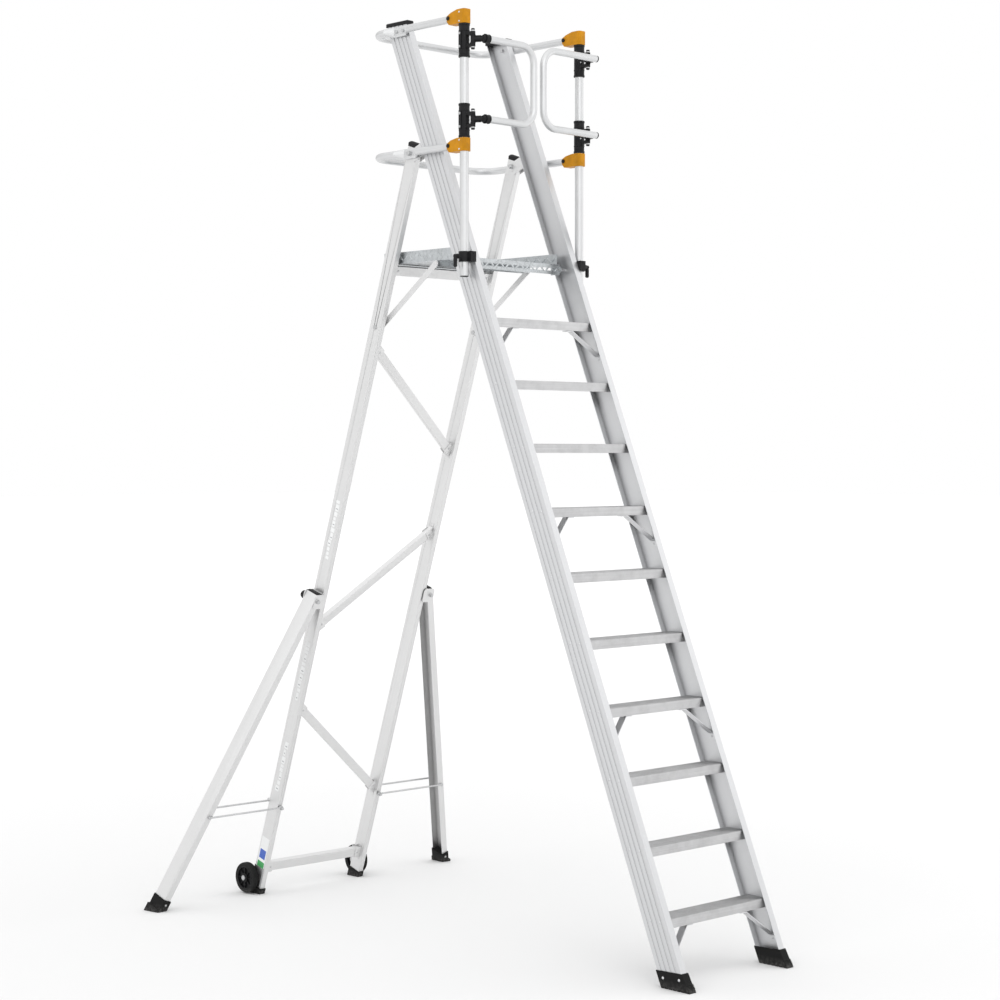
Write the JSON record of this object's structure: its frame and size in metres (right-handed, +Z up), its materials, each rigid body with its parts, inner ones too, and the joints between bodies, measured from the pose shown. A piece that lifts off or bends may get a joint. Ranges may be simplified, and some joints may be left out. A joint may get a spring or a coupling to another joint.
{
  "type": "mobile platform ladder",
  "caption": "Folding mobile platform ladder with ribbed treads, guard rails, swing gates, side outriggers and rear wheels.",
  "frame": {"origin": "on the floor at the centre of the ladder's footprint", "axes": "+Z up, +Y from the climbing side to the wheels, +X to the climber's right"},
  "size_m": [1.7328, 2.6524, 3.737],
  "materials": {
    "stile_extrusion": "satin extruded aluminium",
    "frame_extrusion": "satin extruded aluminium",
    "tread_extrusion": "ribbed mill-finish aluminium",
    "rail_tube": "bright drawn aluminium tube",
    "chequer_plate": "raised chequer plate",
    "bright_steel": "zinc-plated steel",
    "black_plastic": "moulded, lightly textured",
    "amber_plastic": "moulded, satin",
    "black_rubber": "matte moulded rubber",
    "wheel_plastic": "moulded wheel centre",
    "tyre_rubber": "matte rubber tread"
  },
  "bodies": {
    "front_ladder": {"stile_left": "stile_extrusion", "stile_right": "stile_extrusion", "tread_01": "tread_extrusion", "tread_02": "tread_extrusion", "tread_03": "tread_extrusion", "tread_04": "tread_extrusion", "tread_05": "tread_extrusion", "tread_06": "tread_extrusion", "tread_07": "tread_extrusion", "tread_08": "tread_extrusion", "tread_09": "tread_extrusion", "tread_10": "tread_extrusion", "tread_corner_braces": "bright_steel", "front_boot_left": "black_rubber", "front_boot_right": "black_rubber", "stile_caps": "black_plastic", "top_rail": "rail_tube", "knee_rail": "rail_tube", "post_left": "rail_tube", "post_right": "rail_tube", "rail_connectors": "amber_plastic", "connector_pins": "black_plastic", "hinge_sleeves": "black_plastic", "post_clamps": "black_plastic", "pivot_brackets": "bright_steel", "frame_pivot_pins": "bright_steel", "gate_pins_and_rail_bolts": "bright_steel", "ladder_rivets": "bright_steel"},
    "rear_frame": {"rear_leg_left": "frame_extrusion", "rear_leg_right": "frame_extrusion", "platform_rest_bar": "frame_extrusion", "brace_upper": "frame_extrusion", "brace_middle": "frame_extrusion", "brace_lower": "frame_extrusion", "bottom_bar": "frame_extrusion", "leg_shoes": "black_rubber", "leg_caps_and_knobs": "black_plastic", "wheel_brackets": "bright_steel", "wheel_axles": "bright_steel", "outrigger_brackets": "bright_steel", "rear_frame_bolts": "bright_steel"},
    "platform": {"platform_deck": "chequer_plate", "deck_stiffener": "chequer_plate"},
    "struts": {"platform_struts": "bright_steel"},
    "wheel_left": {"wheel_left": "wheel_plastic", "tyre_left": "tyre_rubber"},
    "outrigger_left": {"outrigger_left": "frame_extrusion", "outrigger_boot_left": "black_rubber"},
    "stay_left": {"stay_rods_left": "bright_steel"},
    "gate_left": {"gate_left": "rail_tube", "gate_arms_left": "black_plastic"},
    "clamp_lever_left": {"clamp_lever_left": "black_plastic"},
    "wheel_right": {"wheel_right": "wheel_plastic", "tyre_right": "tyre_rubber"},
    "outrigger_right": {"outrigger_right": "frame_extrusion", "outrigger_boot_right": "black_rubber"},
    "stay_right": {"stay_rods_right": "bright_steel"},
    "gate_right": {"gate_right": "rail_tube", "gate_arms_right": "black_plastic"},
    "clamp_lever_right": {"clamp_lever_right": "black_plastic"}
  },
  "joints": [
    {"name": "rear_frame_fold", "type": "hinge", "parent": "front_ladder", "child": "rear_frame", "pos_m": [0, 0.17699, 3.18698], "axis": [-1, 0, 0], "range_deg": [0, 36]},
    {"name": "platform_fold", "type": "hinge", "parent": "front_ladder", "child": "platform", "pos_m": [0, -0.11925, 2.728], "axis": [1, 0, 0], "range_deg": [0, 69]},
    {"name": "strut_fold", "type": "hinge", "parent": "rear_frame", "child": "struts", "pos_m": [0, 0.40809, 2.48821], "axis": [-1, 0, 0], "range_deg": [0, 17]},
    {"name": "gate_left_swing", "type": "hinge", "parent": "front_ladder", "child": "gate_left", "pos_m": [-0.33, -0.21625, 3.44], "axis": [0, 0, 1], "range_deg": [0, 80], "stiffness_Nm_per_rad": 1.2, "springref_deg": -17.19},
    {"name": "gate_right_swing", "type": "hinge", "parent": "front_ladder", "child": "gate_right", "pos_m": [0.33, -0.21625, 3.44], "axis": [0, 0, -1], "range_deg": [0, 80], "stiffness_Nm_per_rad": 1.2, "springref_deg": -17.19},
    {"name": "wheel_left_spin", "type": "hinge", "parent": "rear_frame", "child": "wheel_left", "pos_m": [-0.32, 1.25875, 0.0705], "axis": [1, 0, 0], "continuous": true},
    {"name": "wheel_right_spin", "type": "hinge", "parent": "rear_frame", "child": "wheel_right", "pos_m": [0.32, 1.25875, 0.0705], "axis": [1, 0, 0], "continuous": true},
    {"name": "outrigger_left_fold", "type": "hinge", "parent": "rear_frame", "child": "outrigger_left", "pos_m": [-0.3286, 0.78833, 1.33845], "axis": [0, -0.9494, -0.314], "range_deg": [0, 17]},
    {"name": "outrigger_right_fold", "type": "hinge", "parent": "rear_frame", "child": "outrigger_right", "pos_m": [0.3286, 0.78833, 1.33845], "axis": [0, 0.9494, 0.314], "range_deg": [0, 17]},
    {"name": "stay_left_swing", "type": "hinge", "parent": "rear_frame", "child": "stay_left", "pos_m": [-0.2875, 1.09417, 0.4137], "axis": [0, 0.9494, 0.314], "range_deg": [0, 80]},
    {"name": "stay_right_swing", "type": "hinge", "parent": "rear_frame", "child": "stay_right", "pos_m": [0.2875, 1.09417, 0.4137], "axis": [0, -0.9494, -0.314], "range_deg": [0, 80]},
    {"name": "clamp_lever_left_turn", "type": "hinge", "parent": "front_ladder", "child": "clamp_lever_left", "pos_m": [-0.372, -0.16625, 2.743], "axis": [1, 0, 0], "range_deg": [0, 180]},
    {"name": "clamp_lever_right_turn", "type": "hinge", "parent": "front_ladder", "child": "clamp_lever_right", "pos_m": [0.372, -0.16625, 2.743], "axis": [1, 0, 0], "range_deg": [0, 180]}
  ],
  "couplings": [
    {"joint": "platform_fold", "follows": "rear_frame_fold", "ratio": 1.903},
    {"joint": "strut_fold", "follows": "rear_frame_fold", "ratio": 0.4544}
  ]
}
